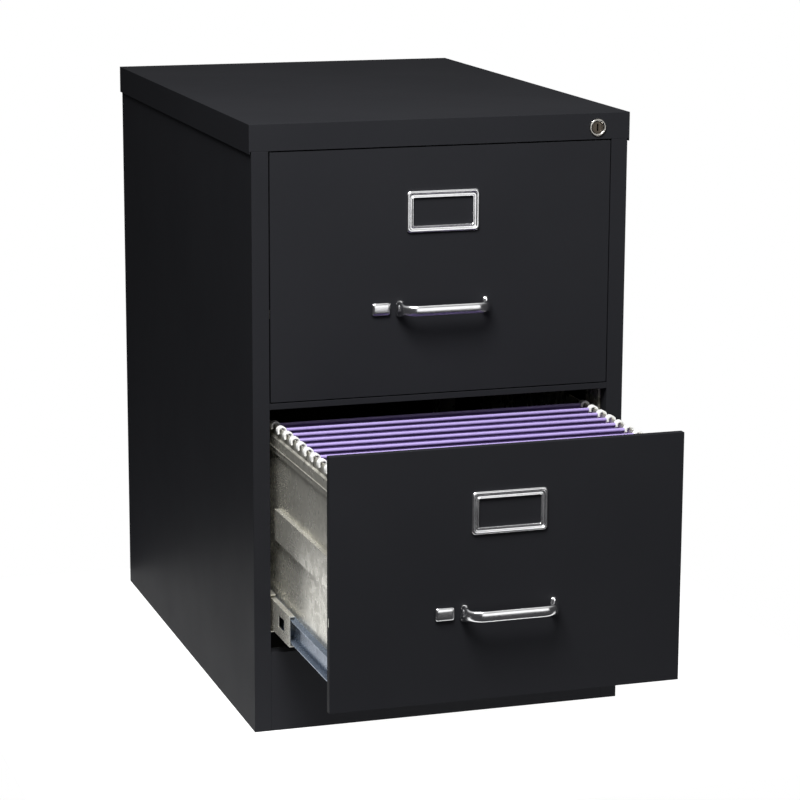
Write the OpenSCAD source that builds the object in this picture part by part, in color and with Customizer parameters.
// Two-drawer vertical file cabinet for legal-size hanging folders.
// X runs left to right, Y front to back and Z up. The origin is the centre of
// the case's footprint, on the floor. The lower drawer stands partly open.

/* [Case] */
// Width across the side panels
case_w = 457; // [380:1:560]
// Depth from the front frame to the rear flanges
case_d = 673; // [540:1:820]
// Height of the kick panel under the lower drawer
base_h = 96; // [60:1:140]
// Height of each drawer opening
opening_h = 292; // [240:1:360]
// Face height of the rail between the drawers
divider_h = 7; // [5:0.5:20]
// Face height of the top cap above the upper drawer
header_h = 31; // [30:1:45]
// Face width of each front stile
stile_w = 20; // [18:1:30]
// Depth of the stile's return into the case
stile_return = 20; // [18:1:24]
// Thickness of the case sheet
case_t = 1; // [0.8:0.1:1.2]
// How far the cap stands out past each side panel
cap_over = 2.5; // [1.5:0.1:4]
// Height of the cap's side skirts
skirt_h = 34; // [24:1:45]
// Width of the floor flange round the base
base_flange = 26; // [18:1:40]

/* [Drawers] */
// Gap round each closed drawer front
front_gap = 1.5; // [1:0.1:3]
// Depth of the drawer front's folded pan
front_depth = 9; // [8:0.5:14]
// Thickness of the drawer sheet
drawer_t = 1; // [0.8:0.1:1.2]
// Space behind the closed drawers
rear_gap = 30; // [20:1:60]
// Height of the drawer side's lower edge above the opening
side_lift = 29; // [26:1:30]
// Distance from the top of the opening down to the hang rail
rail_drop = 24; // [18:1:30]
// Height of the drawer's back panel
back_h = 150; // [80:1:190]
// How far the lower drawer stands open
open_rest = 236; // [100:1:400]

/* [Slides] */
// Overall thickness of one slide
slide_t = 12.7; // [12.5:0.1:13]
// Thickness of the slide strip
strip_t = 1.2; // [1:0.1:1.2]
// Height of the drawer member
slide_core_h = 28; // [24:1:30]
// Diameter of the slide balls
ball_d = 3; // [2.8:0.1:3.2]
// Height of the slide's centre line above the opening
slide_lift = 44; // [43:1:60]
// Balls in each row
ball_count = 6; // [3:1:10]

/* [Hardware] */
// Width of the drawer handle
handle_w = 114; // [90:1:140]
// How far the handle stands out from the drawer front
handle_out = 27; // [22:1:35]
// Height of the grip
grip_h = 12.5; // [10:0.5:16]
// Distance from the top of the opening to the handle's centre line
handle_drop = 188; // [150:1:200]
// Width of the label holder
label_w = 89; // [70:1:100]
// Height of the label holder
label_h = 49; // [40:1:60]
// Distance from the top of the opening to the label holder's centre
label_drop = 76; // [60:1:90]
// Width of the thumb latch button
button_w = 22; // [20:1:28]
// Height of the thumb latch button
button_h = 15; // [14:1:20]
// Travel of the thumb latch
latch_travel = 6; // [4:0.5:7]
// Diameter of the lock's bezel
lock_d = 21; // [20:0.5:22]

/* [Folders] */
// Number of hanging folders
folder_count = 5; // [1:1:8]
// Distance between neighbouring hanging rods
rod_pitch = 28; // [14:1:30]
// Gap between each end of a folder's sheet and the drawer side
folder_end_gap = 7; // [7:0.5:40]
// Height of a folder's fold above the drawer's lower edge
folder_lift = 15; // [8:1:80]

/* [Hidden] */
$fn = 48;

lower = 0;
upper = 1;

// Colours
paint = [0.15, 0.155, 0.165];
zinc = [0.66, 0.66, 0.62];
chrome = [0.82, 0.83, 0.85];
nylon = [0.93, 0.93, 0.9];
purple = [0.42, 0.33, 0.58];

// Case levels and planes
case_h = base_h + 2 * opening_h + divider_h + header_h;
header_z = case_h - header_h;
y_front = -case_d / 2;
y_rear = case_d / 2;
inner_x = case_w / 2 - case_t;
opening_w = case_w - 2 * stile_w;
opening_x = opening_w / 2;
rear_flange_w = 18;
rear_skirt_h = 20;
rail_return = 24;
base_t = 1.5;
base_upstand = 20;

// Drawer box
front_w = opening_w - 2 * front_gap;
pan_lip = 10;
liner_t = 0.8;
liner_inset = 3;
box_y0 = y_front + front_depth + liner_t;
box_y1 = y_rear - rear_gap;
slide_play = 1.3;
side_x = opening_x - slide_play - slide_t;
rail_z = opening_h - rail_drop;
side_flange = 14;
lip_h = 13;
hem_out = 2.5;
hem_z0 = rail_z - 34;
bead_r = 0.8;
bead_z = rail_z - 26;
emboss_out = 5.5;
emboss_z0 = rail_z - 134;
emboss_z1 = rail_z - 97;
emboss_gap = 157;
emboss_front = box_y0 + 14;
emboss_len = (box_y1 - box_y0 - 28 - emboss_gap) / 2;
bottom_lip = 10;

// Slide section: u runs outward from the drawer side, v up from the slide's centre line
slide_z = slide_lift;
play = 0.2;
ball_gap = ball_d + play;
core_half = slide_core_h / 2;
mid_half = core_half + ball_gap + strip_t;
case_half = mid_half + ball_gap + strip_t;
cage_t = 0.4;
strip_cage_t = 0.8;
core_lip_u = 7.6;
inner_cage_u = core_lip_u + play;
mid_web_u = inner_cage_u + cage_t + play;
mid_lip_u = 3;
case_lip_u = 4;
outer_cage_u = (mid_web_u + slide_t - cage_t) / 2;
inner_ball_u = 5.2;
outer_ball_u = 6.5;
ball_pitch = 24;
cage_end = 12;
cage_rim = 0.7;
ball_fit = 0.1;
cage_len = (ball_count - 1) * ball_pitch + 2 * cage_end;
case_rail_y = [y_front + 14, y_rear - 24];
mid_rail_y = [y_front + 54, y_rear - 36];
core_rail_y = [box_y0 + 1.2, box_y1 - 4];
inner_cage_y = y_front + 200;
outer_cage_y = y_front + 200;
window_w = 26;
window_h = 15;
rivet_d = 4;
rivet_fit = 0.1;
rivet_head_d = 7;
rivet_head_t = 1.4;
core_rivet_y = [y_front + 60, 0, y_rear - 70];

// Uprights that carry the slides
post_t = 1.2;
post_w = 40;
post_x = side_x + slide_t;
front_post_y = y_front + stile_return + 4;
rear_post_y = y_rear - 26 - post_w;
post_rivet_dz = 12;

// Handle, its screws, label holder and thumb latch
handle_z = opening_h - handle_drop;
grip_t = 4.5;
grip_r = 11;
flare_len = 15;
flare_tip = 4;
foot_h = 20;
foot_w = 9;
foot_d = 6;
screw_d = 4;
screw_hole_d = 4.4;
screw_bite = 4.5;
screw_head_d = 7.6;
screw_head_t = 2.2;
screw_x = handle_w / 2 - foot_w / 2;
label_z = opening_h - label_drop;
label_rim = 8.5;
label_t = 3.2;
label_r = 5;
prong_t = 0.8;
prong_h = 8;
prong_out = 2.4;
prong_x = label_w / 2 - label_rim / 2;
button_handle_gap = 7;
button_x = -handle_w / 2 - button_handle_gap - button_w / 2;
button_t = 4.2;
button_gap = 0.3;
stem_w = 10;
latch_y = y_front + 3.5;
latch_bar_t = 1.5;
latch_bar_h = 10;
latch_fit = 0.3;
guide_w = 10;
guide_t = 0.9;
spring_guide_x = button_x - stem_w / 2 - latch_travel - guide_w;
outer_guide_x = -front_w / 2 + 20;
tab_w = 1.5;
tab_h = 6;
spring_len = 20;
tab_x = spring_guide_x - guide_w / 2 - spring_len - 0.6 - tab_w;
spring_d = 4.4;
spring_wire = 0.6;
spring_turns = 6;
spring_z = handle_z + latch_bar_h / 2 + 3.4;

// Lock: a quarter turn of the plug lifts the bar through a pin and slot
lock_x = opening_x - 18;
lock_z = case_h - header_h * 0.55;
plug_d = 14;
plug_fit = 0.1;
housing_d = 18.8;
housing_len = 13;
bezel_t = 2;
nut_d = 25;
nut_t = 2;
cam_t = 2;
cam_r = 8;
pin_d = 3.9;
pin_play = 0.7;
cam_y = y_front + housing_len + 1;
bar_t = 1.5;
bar_y = y_front + stile_return + 1;
bar_x0 = opening_x + case_t;
bar_w = 13.5;
arm_h = 10;
arm_x0 = lock_x - 6;
pin_z = lock_z - cam_r * sin(45);
bar_z0 = base_h + 14;
lug_z = 150;
lug_h = 10;
lug_tip_x = front_w / 2 + 0.6;
strike_h = 12;
strike_z = lug_z + lug_h / 2 + 1.3;
guide_fit = 0.3;

// Hanging folders
folder_t = 0.8;
folder_y = y_front + 17;
fold_w = 4;
rod_d = 2.5;
rod_fit = 0.1;
roll_d = 4.6;
rod_z = rail_z - 2;
folder_w = 2 * (side_x - folder_end_gap);
folder_drop = rod_z - side_lift - folder_lift;
hook_w = 8;
hook_t = 3;
hook_in = 6.8;
hook_out = 4.2;
hook_play = 0.7;

function level_z(level) = base_h + level * (opening_h + divider_h);

// Places a drawer-level shape; share is how much of the drawer's travel the part makes
module placed(level, share = 1)
    translate([0, level == lower ? -share * open_rest : 0, level_z(level)]) children();

// Extrudes an XZ outline from y0 to y1
module along_y(y0, y1) translate([0, y1, 0]) rotate([90, 0, 0]) linear_extrude(y1 - y0) children();

// Extrudes a YZ outline from x0 to x1
module along_x(x0, x1) translate([x0, 0, 0]) rotate([90, 0, 90]) linear_extrude(x1 - x0) children();

// A right-hand shape, mirrored for the left side
module on_side(side) mirror([side < 0 ? 1 : 0, 0, 0]) children();

module on_both() for (side = [-1, 1]) on_side(side) children();

// A box between two opposite corners
module block(low, high) translate(low) cube(high - low);

// A cylinder along X or Y
module rod_x(x0, x1, d) translate([x0, 0, 0]) rotate([0, 90, 0]) cylinder(h = x1 - x0, d = d);
module rod_y(y0, y1, d) translate([0, y1, 0]) rotate([90, 0, 0]) cylinder(h = y1 - y0, d = d);

// A centred rectangle with round corners
module rounded_plate(w, h, r) {
    square([w - 2 * r, h], center = true);
    square([w, h - 2 * r], center = true);
    for (sx = [-1, 1], sy = [-1, 1]) translate([sx * (w / 2 - r), sy * (h / 2 - r)]) circle(r);
}

// ---- Case ----

module side_panel(side) color(paint) on_side(side) difference() {
    union() {
        block([inner_x, y_front, 0], [case_w / 2, y_rear, header_z]);
        block([inner_x, y_front + case_t, 0], [case_w / 2, y_rear, case_h - case_t]);
        block([opening_x, y_front, 0], [case_w / 2, y_front + case_t, header_z]);
        block([opening_x, y_front, 0], [opening_x + case_t, y_front + stile_return, header_z]);
        block([case_w / 2 - rear_flange_w, y_rear - case_t, 0], [case_w / 2, y_rear, case_h - case_t]);
    }
    // strike slots for the thumb latches
    if (side < 0) for (level = [lower, upper]) placed(level, 0)
        block([opening_x - 1, latch_y - 1, handle_z - latch_bar_h / 2 - 1],
              [opening_x + case_t + 1, latch_y + latch_bar_t + 1, handle_z + latch_bar_h / 2 + 1]);
}

module back_panel() color(paint)
    block([-inner_x, y_rear - 2 * case_t, 0], [inner_x, y_rear - case_t, case_h - case_t]);

module top_cap() {
    cap_x = case_w / 2 + cap_over;
    color(paint) difference() {
        union() {
            block([-cap_x, y_front, case_h - case_t], [cap_x, y_rear + case_t, case_h]);
            block([-cap_x, y_front, header_z], [cap_x, y_front + case_t, case_h]);
            block([-opening_x, y_front, header_z], [opening_x, y_front + stile_return, header_z + case_t]);
            block([-cap_x, y_rear, case_h - rear_skirt_h], [cap_x, y_rear + case_t, case_h]);
            on_both() block([cap_x - case_t, y_front, case_h - skirt_h], [cap_x, y_rear + case_t, case_h]);
        }
        translate([lock_x, 0, lock_z]) rod_y(y_front - 1, y_front + case_t + 1, housing_d + 0.4);
    }
}

module divider_rail() color(paint) translate([0, 0, level_z(upper) - divider_h]) {
    block([-opening_x, y_front, 0], [opening_x, y_front + case_t, divider_h]);
    for (z = [0, divider_h - case_t])
        block([-opening_x, y_front, z], [opening_x, y_front + rail_return, z + case_t]);
}

module kick_panel() color(paint) {
    block([-opening_x, y_front, 0], [opening_x, y_front + case_t, base_h]);
    block([-opening_x, y_front, base_h - case_t], [opening_x, y_front + stile_return, base_h]);
    block([-opening_x, y_front + stile_return - case_t, base_h - 12],
          [opening_x, y_front + stile_return, base_h]);
    block([-opening_x, y_front, 0], [opening_x, bar_y, case_t]);
}

module base_frame() {
    frame_y1 = y_rear - 2 * case_t;
    color(paint) {
        difference() {
            block([-inner_x, bar_y, 0], [inner_x, frame_y1, base_t]);
            block([base_flange - inner_x, bar_y + base_flange, -1],
                  [inner_x - base_flange, frame_y1 - base_flange, base_t + 1]);
        }
        block([-inner_x, bar_y, 0], [inner_x, bar_y + base_t, base_upstand]);
        block([-inner_x, frame_y1 - base_t, 0], [inner_x, frame_y1, base_upstand]);
    }
}

// Upright channel between the floor flange and the cap
module post(side, y0) color(zinc) on_side(side) difference() {
    union() {
        block([post_x, y0, base_t], [post_x + post_t, y0 + post_w, case_h - case_t]);
        for (y = [y0, y0 + post_w - post_t])
            block([post_x, y, base_t], [inner_x, y + post_t, case_h - case_t]);
    }
    for (level = [lower, upper], dz = [-1, 1])
        translate([0, y0 + post_w / 2, level_z(level) + slide_z + dz * post_rivet_dz])
            rod_x(post_x - 1, post_x + post_t + 1, rivet_d + rivet_fit);
}

// Rivets that fix the case rails to the uprights
module slide_rivets() color(zinc)
    for (level = [lower, upper], y0 = [front_post_y, rear_post_y], dz = [-1, 1]) on_both()
        translate([0, y0 + post_w / 2, level_z(level) + slide_z + dz * post_rivet_dz]) {
            rod_x(post_x - strip_t, post_x + post_t, rivet_d);
            rod_x(post_x + post_t, post_x + post_t + rivet_head_t, rivet_head_d);
        }

// ---- Lock ----

module lock_housing() color(chrome) translate([lock_x, 0, lock_z]) difference() {
    union() {
        rod_y(y_front - bezel_t, y_front, lock_d);
        rod_y(y_front, y_front + housing_len, housing_d);
    }
    rod_y(y_front - bezel_t - 1, y_front + housing_len + 1, plug_d + plug_fit);
}

module lock_nut() color(zinc) translate([lock_x, 0, lock_z]) difference() {
    rod_y(y_front + case_t, y_front + case_t + nut_t, nut_d);
    rod_y(y_front, y_front + case_t + nut_t + 1, housing_d + plug_fit);
}

module lock_plug() color(chrome) translate([lock_x, 0, lock_z]) difference() {
    rod_y(y_front - bezel_t + 0.6, cam_y, plug_d);
    block([-0.7, y_front - bezel_t - 1, -3.8], [0.7, y_front + 9, 3.8]);
}

module lock_cam() color(zinc) translate([lock_x, 0, lock_z]) {
    rod_y(cam_y, cam_y + cam_t, plug_d);
    rotate([0, 45, 0]) {
        block([0, cam_y, -3.5], [cam_r, cam_y + cam_t, 3.5]);
        translate([cam_r, 0, 0]) {
            rod_y(cam_y, cam_y + cam_t, 7);
            rod_y(cam_y + cam_t, bar_y + bar_t + 1, pin_d);
        }
    }
}

module lock_bar() {
    slot_x0 = lock_x + cam_r * cos(45) - pin_d / 2 - pin_play / 2;
    slot_x1 = lock_x + cam_r + pin_d / 2 + pin_play / 2;
    slot_h = pin_d + pin_play;
    color(zinc) difference() {
        union() {
            block([bar_x0, bar_y, bar_z0], [bar_x0 + bar_w, bar_y + bar_t, pin_z + arm_h / 2]);
            block([arm_x0, bar_y, pin_z - arm_h / 2], [bar_x0 + bar_w, bar_y + bar_t, pin_z + arm_h / 2]);
            for (level = [lower, upper]) placed(level, 0)
                block([lug_tip_x, bar_y, lug_z - lug_h / 2], [bar_x0 + 1, bar_y + bar_t, lug_z + lug_h / 2]);
        }
        block([slot_x0, bar_y - 1, pin_z - slot_h / 2], [slot_x1, bar_y + bar_t + 1, pin_z + slot_h / 2]);
    }
}

module lock_bar_guides() color(zinc)
    for (z = [level_z(lower) + opening_h / 2 + 60, level_z(upper) + opening_h / 2 + 60]) difference() {
        block([bar_x0 - guide_fit - 0.7, y_front + stile_return, z],
              [bar_x0 + bar_w + guide_fit + 2, front_post_y, z + 12]);
        block([bar_x0 - guide_fit, bar_y - guide_fit, z - 1],
              [bar_x0 + bar_w + guide_fit, bar_y + bar_t + guide_fit, z + 13]);
    }

// ---- Drawer ----

module drawer_front(level) color(paint) placed(level) difference() {
    block([-front_w / 2, y_front, front_gap], [front_w / 2, y_front + front_depth, opening_h - front_gap]);
    // the pan's hollow, and the way in between its back lips
    block([drawer_t - front_w / 2, y_front + drawer_t, front_gap + drawer_t],
          [front_w / 2 - drawer_t, y_front + front_depth - drawer_t, opening_h - front_gap - drawer_t]);
    block([pan_lip - front_w / 2, y_front + drawer_t, front_gap + pan_lip],
          [front_w / 2 - pan_lip, y_front + front_depth + 1, opening_h - front_gap - pan_lip]);
    for (side = [-1, 1]) {
        translate([side * screw_x, 0, handle_z]) rod_y(y_front - 1, y_front + drawer_t + 1, screw_hole_d);
        block([side * prong_x - prong_t / 2 - 0.2, y_front - 1, label_z - prong_h / 2 - 0.2],
              [side * prong_x + prong_t / 2 + 0.2, y_front + drawer_t + 1, label_z + prong_h / 2 + 0.2]);
    }
    // window for the latch stem and slot for the latch tip
    translate([0, 0, handle_z]) {
        half = latch_bar_h / 2 + latch_fit;
        block([button_x - stem_w / 2 - latch_fit, y_front - 1, -half],
              [button_x + stem_w / 2 + latch_travel + latch_fit, y_front + drawer_t + 1, half]);
        block([-front_w / 2 - 1, latch_y - latch_fit, -half],
              [drawer_t - front_w / 2 + 1, latch_y + latch_bar_t + latch_fit, half]);
    }
}

module front_liner(level) {
    liner_x = front_w / 2 - liner_inset;
    liner_y = y_front + front_depth;
    color(paint) placed(level) {
        block([-liner_x, liner_y, front_gap + liner_inset],
              [liner_x, liner_y + liner_t, opening_h - front_gap - liner_inset]);
        // angle that the lock bar's lug stands behind
        block([liner_x - 1.2, liner_y, strike_z], [liner_x, bar_y - 2, strike_z + strike_h]);
    }
}

// One embossed stiffener, hollow behind
module stiffener(y0) difference() {
    block([side_x - drawer_t, y0, emboss_z0], [side_x + emboss_out, y0 + emboss_len, emboss_z1]);
    block([side_x - drawer_t - 1, y0 + drawer_t, emboss_z0 + drawer_t],
          [side_x + emboss_out - drawer_t, y0 + emboss_len - drawer_t, emboss_z1 - drawer_t]);
}

module drawer_side(level, side) color(zinc) placed(level) on_side(side) {
    stiffener_y = [emboss_front, emboss_front + emboss_len + emboss_gap];
    difference() {
        union() {
            block([side_x - drawer_t, box_y0, side_lift], [side_x, box_y1, rail_z]);
            along_y(box_y0, box_y1) polygon([
                [side_x - 0.5, hem_z0], [side_x, hem_z0], [side_x + hem_out, hem_z0 + 1.5],
                [side_x + hem_out, rail_z - lip_h - 1.5], [side_x, rail_z - lip_h],
                [side_x - 0.5, rail_z - lip_h]]);
            translate([side_x + hem_out, 0, bead_z]) rod_y(box_y0, box_y1, 2 * bead_r);
            block([side_x - side_flange, box_y0, side_lift + 2],
                  [side_x, box_y0 + drawer_t, hem_z0]);
            block([side_x - side_flange, box_y1 - drawer_t, side_lift + 2],
                  [side_x, box_y1, side_lift + back_h]);
        }
        for (y = stiffener_y) block([side_x - drawer_t - 1, y + drawer_t, emboss_z0 + drawer_t],
            [side_x + 1, y + emboss_len - drawer_t, emboss_z1 - drawer_t]);
        for (y = core_rivet_y) translate([0, y, slide_z])
            rod_x(side_x - drawer_t - 1, side_x + 1, rivet_d + rivet_fit);
    }
    for (y = stiffener_y) stiffener(y);
}

module drawer_bottom(level) {
    floor_x = side_x - drawer_t;
    floor_y = [box_y0 + drawer_t, box_y1 - 2 * drawer_t];
    color(zinc) placed(level) {
        block([-floor_x, floor_y[0], side_lift], [floor_x, floor_y[1], side_lift + drawer_t]);
        on_both() block([floor_x - drawer_t, floor_y[0], side_lift],
                        [floor_x, floor_y[1], side_lift + bottom_lip]);
    }
}

module drawer_back(level) {
    back_x = side_x - drawer_t;
    back_y = box_y1 - drawer_t;
    color(zinc) placed(level) {
        block([-back_x, back_y - drawer_t, side_lift], [back_x, back_y, side_lift + back_h]);
        block([-back_x, back_y - 8, side_lift + back_h - drawer_t], [back_x, back_y, side_lift + back_h]);
    }
}

// Three points of the handle's outline from the front, at the corner on side (sx, sz)
function flare_corner(sx, sz) =
    let (points = [[handle_w / 2 - flare_len, grip_h / 2], [handle_w / 2 - flare_tip, foot_h / 2],
                   [handle_w / 2, foot_h / 2]])
    [for (k = [0:2]) let (p = points[sx * sz > 0 ? k : 2 - k]) [sx * p[0], sz * p[1]]];

module handle(level) {
    inner_w = handle_w - 2 * grip_t;
    color(chrome) placed(level) translate([0, y_front, handle_z]) difference() {
        intersection() {
            // the bow in plan, with a block at each foot for its screw
            translate([0, 0, -foot_h / 2]) linear_extrude(foot_h) union() {
                difference() {
                    bow_outline(handle_w, handle_out, grip_r);
                    bow_outline(inner_w, handle_out - grip_t, grip_r - grip_t);
                }
                for (side = [-1, 1]) translate([side * (handle_w - foot_w) / 2, -foot_d / 2])
                    square([foot_w, foot_d], center = true);
            }
            // the same bow from the front: a level grip that flares into its feet
            along_y(-handle_out - 1, 1) polygon([for (corner = [[1, 1], [1, -1], [-1, -1], [-1, 1]])
                each flare_corner(corner[0], corner[1])]);
        }
        for (side = [-1, 1]) translate([side * screw_x, 0, 0]) rod_y(-screw_bite - 0.5, 1, screw_d + 0.1);
    }
}

// Half of a rounded rectangle in plan, standing out towards -Y
module bow_outline(w, out, r) {
    translate([-w / 2, r - out]) square([w, out - r]);
    translate([r - w / 2, -out]) square([w - 2 * r, out]);
    for (side = [-1, 1]) translate([side * (w / 2 - r), r - out]) circle(r);
}

module handle_screws(level) color(zinc) placed(level)
    for (side = [-1, 1]) translate([side * screw_x, 0, handle_z]) {
        rod_y(y_front - screw_bite, y_front + drawer_t, screw_d);
        rod_y(y_front + drawer_t, y_front + drawer_t + screw_head_t, screw_head_d);
    }

module label_holder(level) color(chrome) placed(level) translate([0, 0, label_z]) {
    along_y(y_front - label_t, y_front) difference() {
        rounded_plate(label_w, label_h, label_r);
        rounded_plate(label_w - 2 * label_rim, label_h - 2 * label_rim, label_r / 2);
    }
    for (side = [-1, 1])
        block([side * prong_x - prong_t / 2, y_front - 1, -prong_h / 2],
              [side * prong_x + prong_t / 2, y_front + prong_out, prong_h / 2]);
}

module latch_button(level) color(chrome) placed(level) translate([button_x, 0, handle_z]) {
    along_y(y_front - button_gap - button_t, y_front - button_gap) rounded_plate(button_w, button_h, 2);
    block([-stem_w / 2, y_front - button_gap, -latch_bar_h / 2], [stem_w / 2, latch_y, latch_bar_h / 2]);
}

module latch_bar(level) color(zinc) placed(level) translate([0, 0, handle_z]) {
    block([-front_w / 2, latch_y, -latch_bar_h / 2],
          [button_x + stem_w / 2, latch_y + latch_bar_t, latch_bar_h / 2]);
    block([tab_x, latch_y, 0], [tab_x + tab_w, latch_y + latch_bar_t, latch_bar_h / 2 + tab_h]);
}

// Staples that hold the latch bar; the inner one also stops its spring
module latch_guides(level) color(zinc) placed(level) translate([0, y_front + drawer_t, handle_z]) {
    for (x = [outer_guide_x, spring_guide_x]) difference() {
        reach = latch_y + latch_bar_t + latch_fit + guide_t - y_front - drawer_t;
        top = latch_bar_h / 2 + (x == spring_guide_x ? tab_h + 1 : 3);
        block([x - guide_w / 2, 0, -latch_bar_h / 2 - 3], [x + guide_w / 2, reach, top]);
        block([x - guide_w, latch_y - latch_fit - y_front - drawer_t, -latch_bar_h / 2 - latch_fit],
              [x + guide_w, reach - guide_t, latch_bar_h / 2 + latch_fit]);
    }
}

function coil_point(turn, r, side) =
    let (around = 360 * turn, across = 360 * side, reach = spring_d / 2 - spring_wire / 2 + r * cos(across))
    let (along = turn * (spring_len - spring_wire) / spring_turns + r * sin(across))
    [along, reach * cos(around), reach * sin(around)];

module latch_spring(level) {
    steps = 10 * spring_turns;
    sides = 6;
    points = [for (i = [0:steps], k = [0:sides - 1]) coil_point(i / 10, spring_wire / 2, k / sides)];
    walls = [for (i = [0:steps - 1], k = [0:sides - 1], half = [0, 1])
        let (a = i * sides + k, b = i * sides + (k + 1) % sides)
        half == 0 ? [a, a + sides, b + sides] : [a, b + sides, b]];
    ends = [[for (k = [0:sides - 1]) k], [for (k = [sides - 1:-1:0]) steps * sides + k]];
    color(zinc) placed(level)
        translate([tab_x + tab_w + 0.3 + spring_wire / 2, latch_y + latch_bar_t / 2, spring_z])
            polyhedron(points, concat(walls, ends), convexity = 6);
}

// ---- Slides ----

// Channel section on the right side: its web stands at web_u and its lips reach lip_u
module channel(web_u, lip_u, half) translate([side_x, 0]) {
    translate([web_u, -half]) square([strip_t, 2 * half]);
    for (v = [-half, half - strip_t])
        translate([min(web_u, lip_u), v]) square([max(web_u + strip_t, lip_u) - min(web_u, lip_u), strip_t]);
}

module case_rails(level) color(zinc) placed(level, 0) on_both() translate([0, 0, slide_z]) difference() {
    along_y(case_rail_y[0], case_rail_y[1]) channel(slide_t - strip_t, case_lip_u, case_half);
    for (y0 = [front_post_y, rear_post_y], dz = [-1, 1])
        translate([0, y0 + post_w / 2, dz * post_rivet_dz])
            rod_x(post_x - strip_t - 1, post_x + 1, rivet_d + rivet_fit);
}

module middle_rails(level) color(zinc) placed(level, 0.5) on_both() translate([0, 0, slide_z]) difference() {
    along_y(mid_rail_y[0], mid_rail_y[1]) channel(mid_web_u, mid_lip_u, mid_half);
    for (y = [mid_rail_y[0] + 22, mid_rail_y[1] - 22 - window_w])
        block([side_x + mid_web_u - 1, y, -window_h / 2],
              [side_x + mid_web_u + strip_t + 1, y + window_w, window_h / 2]);
}

module drawer_rails(level) color(zinc) placed(level) on_both() translate([0, 0, slide_z]) {
    difference() {
        along_y(core_rail_y[0], core_rail_y[1]) channel(0, core_lip_u, core_half);
        for (y = core_rivet_y) translate([0, y, 0])
            rod_x(side_x - 1, side_x + strip_t + 1, rivet_d + rivet_fit);
    }
    // rivets into the drawer side
    for (y = core_rivet_y) translate([0, y, 0]) {
        rod_x(side_x - drawer_t, side_x + strip_t, rivet_d);
        rod_x(side_x - drawer_t - rivet_head_t, side_x - drawer_t, rivet_head_d);
    }
}

// A cage strip with two rows of balls, above and below
module ball_cage(y0, web_u, ball_u, ball_v) on_both() translate([side_x, y0, slide_z]) {
    difference() {
        union() {
            block([web_u, 0, -ball_v - strip_cage_t / 2],
                  [web_u + cage_t, cage_len, ball_v + strip_cage_t / 2]);
            for (side = [-1, 1])
                block([ball_u - ball_d / 2 - cage_rim, 0, side * ball_v - strip_cage_t / 2],
                      [web_u + cage_t, cage_len, side * ball_v + strip_cage_t / 2]);
        }
        each_ball(ball_u, ball_v) cylinder(d = ball_d + ball_fit, h = ball_d, center = true);
    }
    each_ball(ball_u, ball_v) sphere(d = ball_d);
}

module each_ball(ball_u, ball_v) for (side = [-1, 1], k = [0:ball_count - 1])
    translate([ball_u, cage_end + k * ball_pitch, side * ball_v]) children();

module inner_ball_cages(level) color(chrome) placed(level, 0.75)
    ball_cage(inner_cage_y, inner_cage_u, inner_ball_u, core_half + ball_gap / 2);

module outer_ball_cages(level) color(chrome) placed(level, 0.25)
    ball_cage(outer_cage_y, outer_cage_u, outer_ball_u, mid_half + ball_gap / 2);

// ---- Hanging folders, in the lower drawer ----

module each_folder() placed(lower) for (k = [0:folder_count - 1])
    translate([0, folder_y + 2 * k * rod_pitch, rod_z]) children();

module hanging_folders() color(purple) each_folder() along_x(-folder_w / 2, folder_w / 2) difference() {
    union() {
        for (y = [0, rod_pitch]) translate([y, 0]) circle(d = roll_d);
        difference() {
            polygon([[-folder_t / 2, 0], [(rod_pitch - fold_w) / 2, -folder_drop],
                     [(rod_pitch + fold_w) / 2, -folder_drop], [rod_pitch + folder_t / 2, 0]]);
            polygon([[folder_t / 2, 0], [(rod_pitch - fold_w) / 2 + folder_t, folder_t - folder_drop],
                     [(rod_pitch + fold_w) / 2 - folder_t, folder_t - folder_drop],
                     [rod_pitch - folder_t / 2, 0]]);
            translate([folder_t / 2, -1]) square([rod_pitch - folder_t, 2]);
        }
    }
    for (y = [0, rod_pitch]) translate([y, 0]) circle(d = rod_d + 2 * rod_fit);
}

module folder_rods() color(zinc) each_folder() for (y = [0, rod_pitch])
    translate([0, y, 0]) rod_x(2 - side_x, side_x - 2, rod_d);

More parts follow.
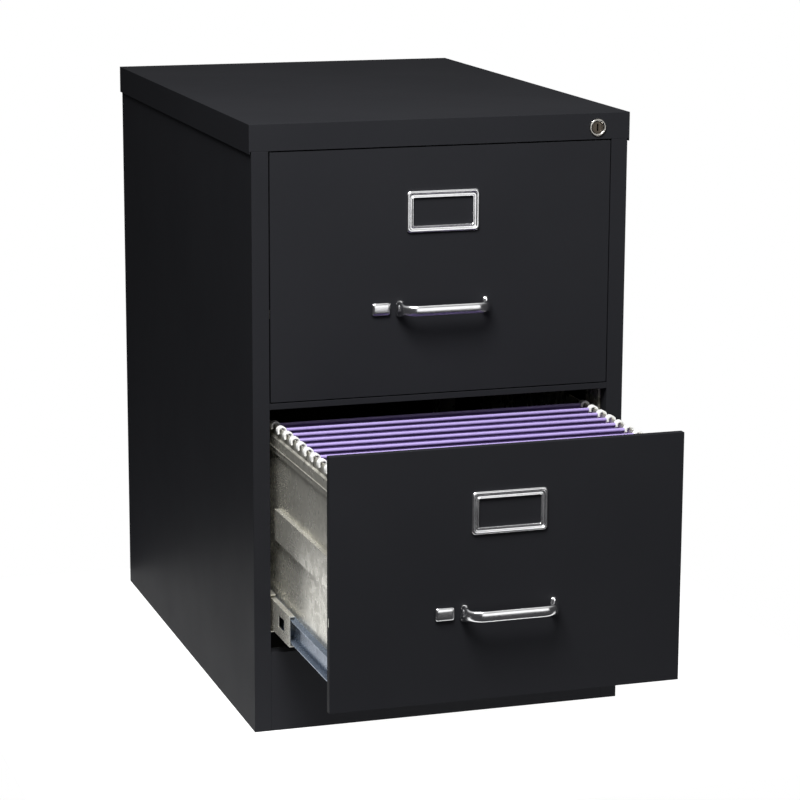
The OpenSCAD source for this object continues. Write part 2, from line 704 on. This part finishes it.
module folder_hooks() color(nylon) each_folder() for (y = [0, rod_pitch]) on_both() difference() {
    along_y(y - hook_w / 2, y + hook_w / 2) polygon([
        [side_x - hook_in, -4], [side_x - drawer_t - hook_play, -4],
        [side_x - drawer_t - hook_play, rail_z - rod_z], [side_x + hook_play, rail_z - rod_z],
        [side_x + hook_play, -4], [side_x + hook_out, -4],
        [side_x + hook_out, rail_z - rod_z + hook_t - 1], [side_x + hook_out - 1, rail_z - rod_z + hook_t],
        [side_x - hook_in, rail_z - rod_z + hook_t]]);
    translate([0, y, 0]) rod_x(side_x - hook_in - 1, side_x - 2, rod_d + rod_fit);
}

side_panel(-1);  // left_side_panel
side_panel(1);  // right_side_panel
back_panel();
top_cap();
divider_rail();
kick_panel();
base_frame();
post(-1, front_post_y);  // front_post_left
post(1, front_post_y);  // front_post_right
post(-1, rear_post_y);  // rear_post_left
post(1, rear_post_y);  // rear_post_right
slide_rivets();
lock_housing();
lock_nut();
lock_plug();
lock_cam();
lock_bar();
lock_bar_guides();
hanging_folders();
folder_rods();
folder_hooks();
drawer_front(lower);  // lower_drawer_front
front_liner(lower);  // lower_front_liner
drawer_side(lower, -1);  // lower_drawer_side_left
drawer_side(lower, 1);  // lower_drawer_side_right
drawer_bottom(lower);  // lower_drawer_bottom
drawer_back(lower);  // lower_drawer_back
handle(lower);  // lower_handle
handle_screws(lower);  // lower_handle_screws
label_holder(lower);  // lower_label_holder
latch_button(lower);  // lower_latch_button
latch_bar(lower);  // lower_latch_bar
latch_guides(lower);  // lower_latch_guides
latch_spring(lower);  // lower_latch_spring
case_rails(lower);  // lower_case_rails
middle_rails(lower);  // lower_middle_rails
drawer_rails(lower);  // lower_drawer_rails
outer_ball_cages(lower);  // lower_outer_ball_cages
inner_ball_cages(lower);  // lower_inner_ball_cages
drawer_front(upper);  // upper_drawer_front
front_liner(upper);  // upper_front_liner
drawer_side(upper, -1);  // upper_drawer_side_left
drawer_side(upper, 1);  // upper_drawer_side_right
drawer_bottom(upper);  // upper_drawer_bottom
drawer_back(upper);  // upper_drawer_back
handle(upper);  // upper_handle
handle_screws(upper);  // upper_handle_screws
label_holder(upper);  // upper_label_holder
latch_button(upper);  // upper_latch_button
latch_bar(upper);  // upper_latch_bar
latch_guides(upper);  // upper_latch_guides
latch_spring(upper);  // upper_latch_spring
case_rails(upper);  // upper_case_rails
middle_rails(upper);  // upper_middle_rails
drawer_rails(upper);  // upper_drawer_rails
outer_ball_cages(upper);  // upper_outer_ball_cages
inner_ball_cages(upper);  // upper_inner_ball_cages
